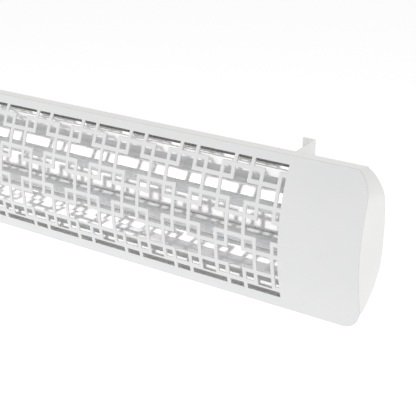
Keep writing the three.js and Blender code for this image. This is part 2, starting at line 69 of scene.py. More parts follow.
# ---------------------------------------------------------------- sizes, in millimetres
# Painted sheet, the CAD's gap between neighbouring pieces, and the narrower joint shown at a seam.
SHEET = 1.5
GAP = 0.3
SEAM_GAP = 0.06

# Outline of the front sheet and the end caps, seen from the front.
CORNER_RADIUS = 29
TOP_CORNER_RADIUS = 40
CAP_LENGTH = 21.7
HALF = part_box("front_sheet")[1].x / MM
TOP_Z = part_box("front_sheet")[1].z / MM
BOTTOM_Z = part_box("front_sheet")[0].z / MM
MIDDLE_Z = (TOP_Z + BOTTOM_Z) / 2
SEAM_X = HALF - CAP_LENGTH
TOP_CORNER_X = HALF - TOP_CORNER_RADIUS
TOP_CORNER_Z = TOP_Z - math.sqrt(TOP_CORNER_RADIUS ** 2 - (TOP_CORNER_RADIUS - CAP_LENGTH) ** 2)
FOOT_CORNER_X = HALF - CORNER_RADIUS
FOOT_CORNER_Z = BOTTOM_Z + CORNER_RADIUS

# Face of the front sheet (y, z), an arc through three points, and the flange folded in at its foot.
FACE_TOP = (-72, TOP_Z)
FACE_BULGE = (-98.5, -8)
FACE_BOTTOM = (-86, BOTTOM_Z)
FLANGE_HALF = SEAM_X - 9
FLANGE_YS = (-83, -79, -74)

# Lattice, along the heater and down the curved face from the window's top edge.
REPEAT = 89.4
REPEATS = 7.5
WINDOW_LENGTH = REPEAT * REPEATS
WINDOW_TOP_Z = 85
WINDOW_HEIGHT = 170.6
BOTTOM_SLOT = 7.5
BAR_WIDTH = 5.5
BAR_STOPS = {"a1": 0.0945, "a2": 0.4, "b1": 0.6, "b2": 0.905}
ROW_COUNT = 4
FIRST_ROW = 21.5
ROW_PITCH = 43.3
ROW_HEIGHT = 16.2
RAIL_HEIGHT = 2.6

# Rear profile (y, z), from the top rear corner round to the bottom edge.
REAR_POINTS = [(-53, TOP_Z), (-48.5, 72), (-45, 40), (-46.5, 8), (-50.5, -20), (-61, -43), (-73.3, -59)]
REAR_STEPS = 30
HOUSING_FLOOR_Z = BOTTOM_Z + SHEET + GAP
HOUSING_HEEL = [(-74.5, -72), (-74.5, HOUSING_FLOOR_Z)]
CAP_TIP = (-88, -74)

# Rounding of cut edges, folds and the rear rim, which grows round the top corner of an end cap. The
# shares keep a rim within the cap's depth and a fold within its flats, and the mitre limit keeps the
# outside of a sharp fold short.
EDGE_ROUND = 0.35
HOUSING_EDGE_ROUND = 0.12
CAP_EDGE_ROUND = 0.1
HEEL_RADIUS = 2
BRACKET_FOLD_RADIUS = 2
RIM_RADIUS = 1.2
CAP_RIM_GROWTH = 2.5
RIM_MOST_OF_DEPTH = 0.4
FOLD_MOST_OF_FLAT = 0.45
MITRE_LIMIT = 0.4

# Reflector (y, z) and lamps.
REFLECTOR_SHEET = 0.8
REFLECTOR_FOLD = 1
UPPER_TROUGH = [(-66.8, 78), (-66.8, 74.3), (-64, 72), (-61, 60), (-50, 37), (-56.5, 22), (-60, 10),
                (-60, -12.3)]
LOWER_TROUGH = [(-60.5, -12.5), (-56.5, -22), (-60.5, -32), (-73.5, -50), (-82, -60), (-77.8, -72),
                (-77.8, -85)]
TUBE_WALL = 1.2
COIL_RADIUS = 1.9
COIL_WIRE = 0.32
COIL_PITCH = 2.6
COIL_END = 14
COIL_LEAD_IN = 2
SUPPORT_COUNT = 9
SUPPORT_WIRE = 0.3
SUPPORT_CLEARANCE = 0.4

# Finger hollows round the clamp knobs.
KNOB_HOLLOWS = 6
KNOB_HOLLOW_RADIUS = 5
KNOB_HOLLOW_OFFSET = 3

# Fineness of the meshes: longest cell along the sheets and down the face, and steps round curves.
FRONT_STEP = 24
LONG_STEP = 60
FACE_STEP = 5
CORNER_DEGREES = 6
CORNER_CUT_SPACING = 0.3
CAP_TOP_STEPS = 12
CAP_SIDE_STEP = 6
CAP_FOOT_STEPS = 3
CAP_DEPTH_STEPS = 4
CAP_RIM_STEPS = 5
FOLD_STEPS = 6
COIL_STEPS = 10
SUPPORT_STEPS = 32

# Distances that count as none: between cuts, between merged points, and for rounding errors.
SAME_CUT = 0.01
SAME_POINT = 0.001
TINY = 1e-6

# Camera. Angles are in degrees, the distance is in metres, and the aim is a share of the CAD's box.
VIEW_AZIMUTH = 40.06
VIEW_ELEVATION = 17.66
VIEW_DISTANCE = 1.636
VIEW_LENS = 112.5
VIEW_AIM = (0.7460, 0.0375, 0.5613)
SENSOR_WIDTH = 36
CLIP_NEAR = 0.05
CLIP_FAR = 50

# Studio, in metres. A light is its place, the point it faces, its width and height, and its watts.
FLOOR_DROP = 0.5
FLOOR_SIZE = 26
FLOOR_GLOW = 0.40
WORLD_STRENGTH = 0.60
LIGHTS = {
    "key": ((2.2, -0.9, 0.9), (0.3, 0, 0), (1.6, 1.4), 8.5),
    "front_fill": ((-1.9, -2.0, 0.8), (0, 0, 0), (2.8, 2.4), 26),
    "top": ((0.2, 0.3, 2.2), (0.2, -0.05, 0), (2.4, 1.6), 9),
}


# ---------------------------------------------------------------- the heater's curves
def circle_through(a, b, c):
    """Centre and radius of the circle through three points."""
    (ax, ay), (bx, by), (cx, cy) = a, b, c
    d = 2 * (ax * (by - cy) + bx * (cy - ay) + cx * (ay - by))
    aa, bb, cc = ax * ax + ay * ay, bx * bx + by * by, cx * cx + cy * cy
    x = (aa * (by - cy) + bb * (cy - ay) + cc * (ay - by)) / d
    y = (aa * (cx - bx) + bb * (ax - cx) + cc * (bx - ax)) / d
    return x, y, math.hypot(ax - x, ay - y)


ARC_Y, ARC_Z, ARC_RADIUS = circle_through(FACE_TOP, FACE_BULGE, FACE_BOTTOM)


def face_y(z, depth=0.0):
    """Front surface at height z, moved inwards along the arc's radius by depth."""
    return ARC_Y - math.sqrt((ARC_RADIUS - depth) ** 2 - (z - ARC_Z) ** 2)


def arc_turn(z):
    """Angle on the face's arc at height z."""
    return math.asin((z - ARC_Z) / ARC_RADIUS)


def arc_below_window_top(z):
    """Length of arc from the window's top edge down to height z."""
    return ARC_RADIUS * (arc_turn(WINDOW_TOP_Z) - arc_turn(z))


def height_at(s):
    """Height of the point s along the arc below the window's top edge."""
    return ARC_Z + ARC_RADIUS * math.sin(arc_turn(WINDOW_TOP_Z) - s / ARC_RADIUS)


def spline(points, steps):
    """Uniform Catmull-Rom curve through the points."""
    out = []
    last = len(points) - 1
    for k in range(steps + 1):
        at = last * k / steps
        i = min(int(at), last - 1)
        w = at - i
        p0, p1 = points[max(i - 1, 0)], points[i]
        p2, p3 = points[i + 1], points[min(i + 2, last)]
        out.append(tuple(
            (2 * b - 2 * c + (c - a) / 2 + (d - b) / 2) * w ** 3
            + (-3 * b + 3 * c - (c - a) - (d - b) / 2) * w ** 2
            + (c - a) / 2 * w + b
            for a, b, c, d in zip(p0, p1, p2, p3)))
    return out


REAR_LINE = spline(REAR_POINTS, REAR_STEPS)


def rear_y(z):
    """Rear surface at height z, down to the tip of the end cap."""
    line = [*REAR_LINE, CAP_TIP]
    for (y0, z0), (y1, z1) in zip(line, line[1:]):
        if z0 >= z >= z1 and z0 > z1:
            return y0 + (y1 - y0) * (z0 - z) / (z0 - z1)
    return line[0][0] if z > line[0][1] else line[-1][0]


def filleted(points, radii, steps=5):
    """The line through the points, with each inner corner rounded to its radius."""
    out = [points[0]]
    for before, corner, after, radius in zip(points, points[1:], points[2:], radii):
        if radius <= 0:
            out.append(corner)
            continue
        corner = Vector(corner)
        a = Vector(before) - corner
        b = Vector(after) - corner
        reach = min(radius / math.tan(a.angle(b) / 2), FOLD_MOST_OF_FLAT * a.length,
                    FOLD_MOST_OF_FLAT * b.length)
        start = corner + a.normalized() * reach
        end = corner + b.normalized() * reach
        for k in range(steps + 1):
            t = k / steps
            out.append(tuple((1 - t) ** 2 * start + 2 * t * (1 - t) * corner + t * t * end))
    out.append(points[-1])
    return out


def offset_line(points, depth):
    """The line moved sideways by depth: to the right of its direction of travel."""
    out = []
    for i, point in enumerate(points):
        sides = []
        for j in (i - 1, i):
            if 0 <= j < len(points) - 1:
                d = Vector(points[j + 1]) - Vector(points[j])
                if d.length > TINY:
                    sides.append(Vector((d.y, -d.x)).normalized())
        middle = sum(sides, Vector((0, 0))).normalized()
        stretch = 1 / max(MITRE_LIMIT, middle.dot(sides[0]))
        out.append((point[0] + middle.x * depth * stretch, point[1] + middle.y * depth * stretch))
    return out


def steps_between(a, b, size):
    """Even steps from a towards b, none longer than size. The value b itself is left out."""
    count = max(1, math.ceil(abs(b - a) / size - TINY))
    return [a + (b - a) * k / count for k in range(count)]


def full_turn(count):
    """Angles evenly spaced round a full turn."""
    return [2 * math.pi * k / count for k in range(count)]


def quarter_turn(steps):
    """Angles from the first step to a right angle."""
    return [math.radians(90 * k / steps) for k in range(1, steps + 1)]


# ---------------------------------------------------------------- meshes and pieces
BODY_NODES = frame["record"]["behaviour"]["bodies"]
SLOT_OF = {part["node"]: part["material_slot"] for part in frame["record"]["subparts"]}


def new_piece(name, bm, body, slot, replaced, smooth_angle=35):
    """Makes the object from a mesh in millimetres, ties it to its body, gives it its slot's material, and
    hides the CAD nodes that it replaces.
    """
    bmesh.ops.recalc_face_normals(bm, faces=bm.faces)
    mesh = bpy.data.meshes.new(name)
    bm.to_mesh(mesh)
    bm.free()
    mesh.transform(Matrix.Scale(MM, 4))
    mesh.shade_smooth()
    mesh.set_sharp_from_angle(angle=math.radians(smooth_angle))
    piece = bpy.data.objects.new(name, mesh)
    bpy.context.scene.collection.objects.link(piece)
    even = piece.modifiers.new("even_normals", "WEIGHTED_NORMAL")
    even.keep_sharp = True
    mesh.materials.append(material_of(slot))
    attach(piece, body)
    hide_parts(*replaced)
    return piece


def axis_of(node):
    """Both ends, the y, the z and the radius of a piece that is round about X."""
    low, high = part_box(node)
    y, z = (low.y + high.y) / 2 / MM, (low.z + high.z) / 2 / MM
    return low.x / MM, high.x / MM, y, z, (high.z - low.z) / 2 / MM


def round_edges(bm, radius, segments=2, angle=40, pick=None):
    """Rounds the edges where two faces meet at more than the angle, or those of them that are picked."""
    edges = [e for e in bm.edges if len(e.link_faces) == 2
             and e.calc_face_angle() > math.radians(angle) and (pick is None or pick(e))]
    bmesh.ops.bevel(bm, geom=edges, offset=radius, segments=segments, profile=0.5,
                    affect="EDGES", clamp_overlap=True)


def grid_faces(bm, rows, closed=False):
    """Quads between neighbouring rows of points, each row closed into a ring if asked."""
    verts = [[bm.verts.new(p) for p in row] for row in rows]
    for upper, lower in zip(verts, verts[1:]):
        count = len(upper)
        for k in range(count if closed else count - 1):
            n = (k + 1) % count
            bm.faces.new((upper[k], upper[n], lower[n], lower[k]))
    return verts


def strip_along_x(outer, inner, xs):
    """A thick sheet whose profile runs from outer to inner (y, z) lines, extruded along X."""
    bm = bmesh.new()
    ring = outer + inner[::-1]
    rows = [[(x, y, z) for y, z in ring] for x in xs]
    verts = grid_faces(bm, rows, closed=True)
    for row in (verts[0], verts[-1]):
        for k in range(len(outer) - 1):
            bm.faces.new((row[k], row[k + 1], row[len(ring) - 2 - k], row[len(ring) - 1 - k]))
    return bm


def turn_to(direction, origin):
    """Matrix that takes +Z to direction and zero to origin."""
    turn = Vector((0, 0, 1)).rotation_difference(Vector(direction))
    return Matrix.Translation(Vector(origin)) @ turn.to_matrix().to_4x4()


def circle(_angle):
    """Share of the radius round a plain circle."""
    return 1


def hexagon(angle):
    """Share of the corner radius round a hexagon."""
    return math.cos(math.pi / 6) / math.cos((angle + math.pi / 6) % (math.pi / 3) - math.pi / 6)


def turned(points, direction, origin, sides=48):
    """A turned solid. Each point is (along, radius) or (along, radius, outline), where the
    outline gives the radius's share at an angle."""
    bm = bmesh.new()
    rows = []
    for along, radius, *outline in points:
        shape = outline[0] if outline else circle
        rows.append([(radius * shape(a) * math.cos(a), radius * shape(a) * math.sin(a), along)
                     for a in full_turn(sides)])
    grid_faces(bm, rows, closed=True)
    bmesh.ops.transform(bm, matrix=turn_to(direction, origin), verts=bm.verts)
    bmesh.ops.remove_doubles(bm, verts=bm.verts, dist=SAME_POINT / 10)
    return bm


def tube_rows(path, radius, sides):
    """Rings round a path of points, without twist."""
    rows = []
    side = None
    for i, point in enumerate(path):
        along = (path[min(i + 1, len(path) - 1)] - path[max(i - 1, 0)]).normalized()
        side = along.orthogonal() if side is None else side - along * side.dot(along)
        side.normalize()
        other = along.cross(side)
        rows.append([point + radius * (side * math.cos(a) + other * math.sin(a))
                     for a in full_turn(sides)])
    return rows


def refined(node, bevel=0.3, segments=2, fold_radius=0, is_fold=None):
    """A CAD node with its flat faces merged and its sharp edges rounded, picked folds first."""
    body = next(joint for joint, nodes in BODY_NODES.items() if node in nodes)
    bm = bmesh.new()
    bm.from_mesh(frame["nodes"][node].data)
    bmesh.ops.transform(bm, matrix=Matrix.Scale(1 / MM, 4), verts=bm.verts)
    bmesh.ops.remove_doubles(bm, verts=bm.verts, dist=2 * SAME_POINT)
    bmesh.ops.dissolve_limit(bm, angle_limit=math.radians(1), verts=bm.verts, edges=bm.edges)
    if is_fold:
        round_edges(bm, fold_radius, segments=4, pick=is_fold)
    round_edges(bm, bevel, segments)
    many_sided = [face for face in bm.faces if len(face.verts) > 4]
    bmesh.ops.triangulate(bm, faces=many_sided, ngon_method="BEAUTY")
    return new_piece(f"{node}_detailed", bm, body, SLOT_OF[node], [node])


# ---------------------------------------------------------------- materials
# Sockets of a Mix node in colour mode.
MIX_FACTOR, MIX_LOW, MIX_HIGH, MIX_RESULT = 0, 6, 7, 2


class Surface:
    """A node material being built up around one Principled shader."""

    def __init__(self, name, colour, roughness, metallic=0.0):
        self.material = bpy.data.materials.new(name)
        self.material.use_nodes = True
        self.tree = self.material.node_tree
        self.shader = self.tree.nodes["Principled BSDF"]
        self.colour = colour
        self.set("Base Color", (*colour, 1))
        self.set("Roughness", roughness)
        self.set("Metallic", metallic)
        self.place = self.tree.nodes.new("ShaderNodeTexCoord").outputs["Object"]
        self.bump_out = None

    def set(self, socket, value):
        self.shader.inputs[socket].default_value = value

    def link(self, output, socket):
        self.tree.links.new(output, socket)

    def stretched(self, scale):
        node = self.tree.nodes.new("ShaderNodeMapping")
        node.inputs["Scale"].default_value = scale
        self.link(self.place, node.inputs["Vector"])
        return node.outputs["Vector"]

    def noise(self, scale, detail):
        """Noise with this many features a metre along X, Y and Z."""
        node = self.tree.nodes.new("ShaderNodeTexNoise")
        node.inputs["Scale"].default_value = 1
        node.inputs["Detail"].default_value = detail
        self.link(self.stretched(scale), node.inputs["Vector"])
        return node.outputs["Fac"]

    def even_noise(self, scale, detail):
        """Noise with the same number of features a metre every way."""
        return self.noise((scale, scale, scale), detail)

    def wave(self, scale):
        """Slanting bands, this many a metre along X, Y and Z."""
        node = self.tree.nodes.new("ShaderNodeTexWave")
        node.bands_direction = "DIAGONAL"
        node.inputs["Scale"].default_value = 1
        node.inputs["Distortion"].default_value = 0.6
        self.link(self.stretched(scale), node.inputs["Vector"])
        return node.outputs["Fac"]

    def maths(self, operation, first, second):
        node = self.tree.nodes.new("ShaderNodeMath")
        node.operation = operation
        self.link(first, node.inputs[0])
        self.link(second, node.inputs[1])
        return node.outputs[0]

    def spread(self, factor, low, high, start=0.3, end=0.7):
        """Maps the factor's range from start to end onto low..high."""
        node = self.tree.nodes.new("ShaderNodeMapRange")
        for socket, value in (("From Min", start), ("From Max", end), ("To Min", low), ("To Max", high)):
            node.inputs[socket].default_value = value
        self.link(factor, node.inputs["Value"])
        return node.outputs["Result"]

    def tinted(self, factor, low, high):
        """Base colour between two tints of the surface's own colour."""
        node = self.tree.nodes.new("ShaderNodeMix")
        node.data_type = "RGBA"
        node.inputs[MIX_LOW].default_value = (*[c * t for c, t in zip(self.colour, low)], 1)
        node.inputs[MIX_HIGH].default_value = (*[c * t for c, t in zip(self.colour, high)], 1)
        self.link(factor, node.inputs[MIX_FACTOR])
        self.link(node.outputs[MIX_RESULT], self.shader.inputs["Base Color"])

    def rough(self, factor, low, high):
        """Roughness from low to high over the factor's middle range."""
        self.link(self.spread(factor, low, high), self.shader.inputs["Roughness"])

    def bump(self, factor, strength, height):
        """Relief of this height in metres, on top of any relief made before."""
        node = self.tree.nodes.new("ShaderNodeBump")
        node.inputs["Strength"].default_value = strength
        node.inputs["Distance"].default_value = height
        self.link(factor, node.inputs["Height"])
        if self.bump_out:
            self.link(self.bump_out, node.inputs["Normal"])
        self.bump_out = node.outputs["Normal"]
        self.link(self.bump_out, self.shader.inputs["Normal"])


def powder_coat(name, colour, roughness):
    """Satin powder coat: fine orange peel, a slow drift in tone, and a painted highlight that makes convex
    edges paler.
    """
    surface = Surface(name, colour, roughness)
    edge = surface.tree.nodes.new("ShaderNodeNewGeometry").outputs["Pointiness"]
    drift = surface.spread(surface.noise((14, 30, 30), detail=3), 0.0, 0.7)
    # Painted highlight: convex edges, where pointiness is high, are tinted paler.
    edge_highlight = surface.spread(edge, 0.0, 0.6, start=0.5, end=0.6)
    drift_and_highlight = surface.maths("ADD", drift, edge_highlight)
    surface.tinted(drift_and_highlight, (0.975, 0.977, 0.982), (1.01, 1.01, 1.008))
    surface.rough(surface.even_noise(160, detail=4), roughness - 0.05, roughness + 0.06)
    surface.bump(surface.even_noise(1500, detail=2), strength=0.10, height=0.00012)
    surface.bump(surface.even_noise(260, detail=1), strength=0.04, height=0.0004)
    return surface.material


def brushed(name, colour, roughness, streak=(7, 1500, 1500), strength=0.10, metallic=1.0):
    """Drawn metal: long fine scratches in tone, roughness and relief, and a slow waviness."""
    surface = Surface(name, colour, roughness, metallic)
    fine = surface.noise(streak, detail=3)
    surface.tinted(surface.spread(fine, 0, 1), (0.95, 0.95, 0.95), (1, 1, 1))
    wide = surface.noise((streak[0] * 2, streak[1] / 3, streak[2] / 3), detail=4)
    surface.rough(wide, roughness * 0.7, roughness * 1.35)
    surface.bump(fine, strength, height=0.00012)
    surface.bump(surface.noise((1.5, 25, 25), detail=1), strength * 0.12, height=0.0012)
    return surface.material


def zinc(name, colour, roughness):
    """Zinc plating: cloudy patches of faintly warm and cool grey."""
    surface = Surface(name, colour, roughness, metallic=1.0)
    patches = surface.spread(surface.even_noise(90, detail=5), 0, 1)
    surface.tinted(patches, (0.88, 0.89, 0.93), (1.03, 1.0, 0.95))
    surface.rough(surface.even_noise(300, detail=5), roughness - 0.09, roughness + 0.14)
    surface.bump(surface.even_noise(900, detail=3), strength=0.08, height=0.0001)
    return surface.material


def moulded(name, colour, roughness):
    """Fine-textured plastic moulding."""
    surface = Surface(name, colour, roughness)
    surface.tinted(surface.even_noise(60, detail=3), (0.85, 0.85, 0.86), (1.15, 1.14, 1.12))
    surface.rough(surface.even_noise(500, detail=3), roughness - 0.08, roughness + 0.1)
    surface.bump(surface.even_noise(2600, detail=2), strength=0.25, height=0.0001)
    return surface.material


def quartz(name):
    """Quartz tube with a slightly frosted, faintly drawn wall."""
    surface = Surface(name, (0.93, 0.935, 0.945), roughness=0.25)
    surface.set("Transmission Weight", 0.25)
    surface.set("IOR", 1.46)
    frost = surface.spread(surface.noise((10, 120, 120), detail=3), 0, 1)
    surface.tinted(frost, (0.95, 0.95, 0.96), (1, 1, 1))
    surface.rough(surface.noise((20, 400, 400), detail=3), 0.22, 0.4)
    surface.bump(surface.noise((5, 160, 160), detail=2), strength=0.05, height=0.0006)
    return surface.material


def ceramic(name):
    """Unglazed white ceramic, with small pores and a chalky bloom."""
    surface = Surface(name, (0.86, 0.84, 0.79), roughness=0.62)
    bloom = surface.spread(surface.even_noise(220, detail=5), 0, 1)
    surface.tinted(bloom, (0.93, 0.92, 0.9), (1.03, 1.03, 1.03))
    surface.rough(surface.even_noise(700, detail=3), 0.52, 0.75)
    surface.bump(surface.even_noise(1800, detail=4), strength=0.3, height=0.00015)
    return surface.material


def braid(name):
    """Woven glass-fibre sleeve."""
    surface = Surface(name, (0.78, 0.75, 0.69), roughness=0.8)
    strands = 380
    one_way = surface.wave((strands, strands, strands))
    other_way = surface.wave((strands, -strands, -strands))
    weave = surface.maths("MULTIPLY", one_way, other_way)
    surface.tinted(weave, (0.8, 0.79, 0.76), (1.05, 1.05, 1.05))
    surface.rough(surface.even_noise(900, detail=2), 0.7, 0.9)
    surface.bump(weave, strength=0.6, height=0.0004)
    return surface.material


def oxidised(name):
    """Dark drawn wire."""
    surface = Surface(name, (0.30, 0.28, 0.26), roughness=0.42, metallic=1.0)
    scale = surface.spread(surface.noise((200, 900, 900), detail=3), 0, 1)
    surface.tinted(scale, (0.7, 0.68, 0.66), (1.15, 1.1, 1.05))
    surface.rough(surface.even_noise(600, detail=3), 0.32, 0.55)
    surface.bump(surface.noise((90, 2500, 2500), detail=2), strength=0.15, height=0.00008)
    return surface.material


def turned_brass(name):
    """Brass with turning marks round its axis."""
    surface = Surface(name, (0.72, 0.56, 0.27), roughness=0.3, metallic=1.0)
    marks = surface.noise((2600, 60, 60), detail=2)
    surface.tinted(surface.spread(marks, 0, 1), (0.85, 0.83, 0.8), (1.05, 1.05, 1.05))
    surface.rough(surface.even_noise(400, detail=3), 0.22, 0.42)
    surface.bump(marks, strength=0.15, height=0.0001)
    return surface.material


# Each slot's material, with its colour and roughness.
MAKERS = {
    # The heater's one white powder coat gets a different brightness on each part, the front sheet darkest.
    # This is painted shade and painted light: the differences stand for how light falls on each part.
    "front_paint": lambda n: powder_coat(n, (0.71, 0.716, 0.712), 0.42),
    "housing_paint": lambda n: powder_coat(n, (0.90, 0.895, 0.875), 0.45),
    "cap_paint": lambda n: powder_coat(n, (0.85, 0.848, 0.83), 0.45),
    "bracket_paint": lambda n: powder_coat(n, (0.85, 0.848, 0.83), 0.48),
    "zinc_steel": lambda n: zinc(n, (0.66, 0.67, 0.68), 0.38),
    "bright_sheet": lambda n: brushed(n, (0.80, 0.81, 0.82), 0.32, (900, 20, 900), 0.12),
    "polished_reflector": lambda n: brushed(n, (0.93, 0.93, 0.925), 0.11, metallic=0.64),
    "quartz": quartz,
    "filament": oxidised,
    "ceramic": ceramic,
    "holder_steel": lambda n: zinc(n, (0.64, 0.65, 0.66), 0.34),
    "lead_sleeve": braid,
    "terminal_plastic": lambda n: moulded(n, (0.035, 0.035, 0.038), 0.5),
    "gland_plastic": lambda n: moulded(n, (0.03, 0.03, 0.032), 0.45),
    "fastener_steel": lambda n: zinc(n, (0.62, 0.63, 0.64), 0.3),
    "knob_plastic": lambda n: moulded(n, (0.028, 0.028, 0.03), 0.48),
    "knob_brass": turned_brass,
}
made_materials = {}


def material_of(slot):
    """The slot's material, made when it is first asked for."""
    if slot not in made_materials:
        made_materials[slot] = MAKERS[slot](slot)
    return made_materials[slot]


for node, slot in SLOT_OF.items():
    slots = frame["nodes"][node].data.materials
    slots.clear()
    slots.append(material_of(slot))


# ---------------------------------------------------------------- front sheet
def lattice_bars():
    """Every bar as (x0, x1, s0, s1). Bars a1, a2, b1 and b2 repeat along the sheet. Each row has
    an upper and a lower line: one runs from b2 over the a1-a2 gap to b1, the other from a2 over
    the b1-b2 gap to a1."""
    bars = []
    half_bar = BAR_WIDTH / 2
    end_bar = BAR_STOPS["a1"] * REPEAT

    def bar(u0, u1, s0, s1, inset=0.0):
        low, high = max(u0, inset), min(u1, WINDOW_LENGTH - inset)
        if high - low > half_bar:
            middle = WINDOW_LENGTH / 2
            bars.append((middle - high, middle - low, max(s0, 0), min(s1, WINDOW_HEIGHT)))

    def line_at(row, side):
        return FIRST_ROW + row * ROW_PITCH + side * ROW_HEIGHT / 2

    rail_foot = WINDOW_HEIGHT - BOTTOM_SLOT
    bar(0, WINDOW_LENGTH, rail_foot - RAIL_HEIGHT, rail_foot)
    stretches = {
        "a": [(line_at(0, -1), line_at(1, 1)), (line_at(2, -1), line_at(3, 1))],
        "b": [(0, line_at(0, 1)), (line_at(1, -1), line_at(2, 1)), (line_at(3, -1), WINDOW_HEIGHT)],
    }
    for n in range(-1, math.floor(REPEATS) + 1):
        over_a = ((n + BAR_STOPS["b2"] - 1) * REPEAT, (n + BAR_STOPS["b1"]) * REPEAT)
        over_b = ((n + BAR_STOPS["a2"]) * REPEAT, (n + 1 + BAR_STOPS["a1"]) * REPEAT)
        for row in range(ROW_COUNT):
            a_side = 1 if row % 2 == 0 else -1
            outer = row in (0, ROW_COUNT - 1)
            for (u0, u1), side, inset in ((over_a, a_side, end_bar if outer else 0), (over_b, -a_side, 0)):
                s = line_at(row, side)
                bar(u0 - half_bar, u1 + half_bar, s - half_bar, s + half_bar, inset)
        for stop, share in BAR_STOPS.items():
            u = (n + share) * REPEAT
            if 0 < u < WINDOW_LENGTH:
                for s0, s1 in stretches[stop[0]]:
                    bar(u - half_bar, u + half_bar, s0 - half_bar, s1 + half_bar)
    return bars


def breaks(values, step):
    """Sorted cut positions, with no two the same and none further apart than step."""
    kept = []
    for value in sorted(values):
        if not kept or value - kept[-1] > SAME_CUT:
            kept.append(value)
    out = []
    for a, b in zip(kept, kept[1:]):
        out += steps_between(a, b, step)
    return out + [kept[-1]]


def squeezed(x, z):
    """Height z, drawn in towards the middle where the sheet's corners are rounded."""
    if z > MIDDLE_Z:
        past = max(0.0, abs(x) - TOP_CORNER_X)
        height = TOP_CORNER_Z + math.sqrt(max(0.0, TOP_CORNER_RADIUS ** 2 - past ** 2))
        reach = min(height, TOP_Z) - MIDDLE_Z
    else:
        past = max(0.0, abs(x) - FOOT_CORNER_X)
        reach = MIDDLE_Z - FOOT_CORNER_Z + math.sqrt(max(0.0, CORNER_RADIUS ** 2 - past ** 2))
    return MIDDLE_Z + (z - MIDDLE_Z) * reach / (TOP_Z - MIDDLE_Z)


def sheet_cuts(bars):
    """Where the sheet is cut into cells: places along X, and lengths of arc down the face."""
    half_window = WINDOW_LENGTH / 2
    round_corner = [FOOT_CORNER_X + CORNER_RADIUS * math.sin(math.radians(a))
                    for a in range(CORNER_DEGREES, 90 + 1, CORNER_DEGREES)]
    corner = sorted([x for x in round_corner if abs(x - SEAM_X) > CORNER_CUT_SPACING] + [SEAM_X])
    plain = breaks([-FOOT_CORNER_X, -FLANGE_HALF, -half_window, half_window, FLANGE_HALF, FOOT_CORNER_X]
                   + [x for bar in bars for x in bar[:2]], FRONT_STEP)
    xs = [-x for x in reversed(corner)] + plain + corner
    ss = breaks([arc_below_window_top(TOP_Z), 0, WINDOW_HEIGHT, arc_below_window_top(BOTTOM_Z)]
                + [s for bar in bars for s in bar[2:]], FACE_STEP)
    return xs, ss


def front_sheet():
    """The pierced sheet: a grid of cells, each solid or open, with an outer and an inner skin. Its
    rows run down the face and then inwards along the flange."""
    bars = lattice_bars()
    xs, ss = sheet_cuts(bars)
    arc_rows = len(ss)
    cell_rows = arc_rows + len(FLANGE_YS) - 1
    cell_columns = len(xs) - 1

    def point(i, j, inside):
        depth = SHEET if inside else 0
        if i >= arc_rows:
            return xs[j], FLANGE_YS[i - arc_rows], BOTTOM_Z + depth
        z = height_at(ss[i])
        if i == arc_rows - 1:
            z += depth
        z = squeezed(xs[j], z)
        return xs[j], face_y(z, depth), z

    def solid(i, j):
        if not (0 <= i < cell_rows and 0 <= j < cell_columns):
            return False
        x = (xs[j] + xs[j + 1]) / 2
        if i >= arc_rows - 1:
            return abs(x) < FLANGE_HALF
        s = (ss[i] + ss[i + 1]) / 2
        if abs(x) > WINDOW_LENGTH / 2 or not 0 < s < WINDOW_HEIGHT:
            return True
        return any(x0 < x < x1 and s0 < s < s1 for x0, x1, s0, s1 in bars)

    bm = bmesh.new()
    made = {}

    def vert(i, j, inside):
        key = (i, j, inside)
        if key not in made:
            made[key] = bm.verts.new(point(i, j, inside))
        return made[key]

    for i in range(cell_rows):
        for j in range(cell_columns):
            if not solid(i, j):
                continue
            ring = ((i, j), (i, j + 1), (i + 1, j + 1), (i + 1, j))
            neighbours = ((i - 1, j), (i, j + 1), (i + 1, j), (i, j - 1))
            bm.faces.new([vert(*corner, False) for corner in ring])
            bm.faces.new([vert(*corner, True) for corner in reversed(ring)])
            for a, b, neighbour in zip(ring, ring[1:] + ring[:1], neighbours):
                if not solid(*neighbour):
                    bm.faces.new((vert(*b, False), vert(*a, False), vert(*a, True), vert(*b, True)))
    bmesh.ops.recalc_face_normals(bm, faces=bm.faces)
    round_edges(bm, EDGE_ROUND, angle=50)
    return new_piece("lattice_front", bm, "heater", "front_paint", ["front_sheet"], smooth_angle=50)


front_sheet()


# ---------------------------------------------------------------- housing and end caps
def rear_housing():
    """Top band, back and floor in one sheet. The rounded top edge takes the place of the first
    points of the rear line."""
    rounded_above = TOP_Z - 2.2 * RIM_RADIUS
    line = [(face_y(TOP_Z, SHEET + SEAM_GAP), TOP_Z), REAR_LINE[0],
            *[point for point in REAR_LINE if point[1] < rounded_above], *HOUSING_HEEL,
            (face_y(HOUSING_FLOOR_Z, SHEET + SEAM_GAP), HOUSING_FLOOR_Z)]
    outer = filleted(line, [RIM_RADIUS] + [0] * (len(line) - 4) + [HEEL_RADIUS])
    end = SEAM_X - SEAM_GAP
    bm = strip_along_x(outer, offset_line(outer, SHEET), steps_between(-end, end, LONG_STEP) + [end])
    bmesh.ops.recalc_face_normals(bm, faces=bm.faces)
    round_edges(bm, HOUSING_EDGE_ROUND, segments=1, angle=60)
    return new_piece("housing_shell", bm, "heater", "housing_paint", ["rear_housing"], smooth_angle=40)


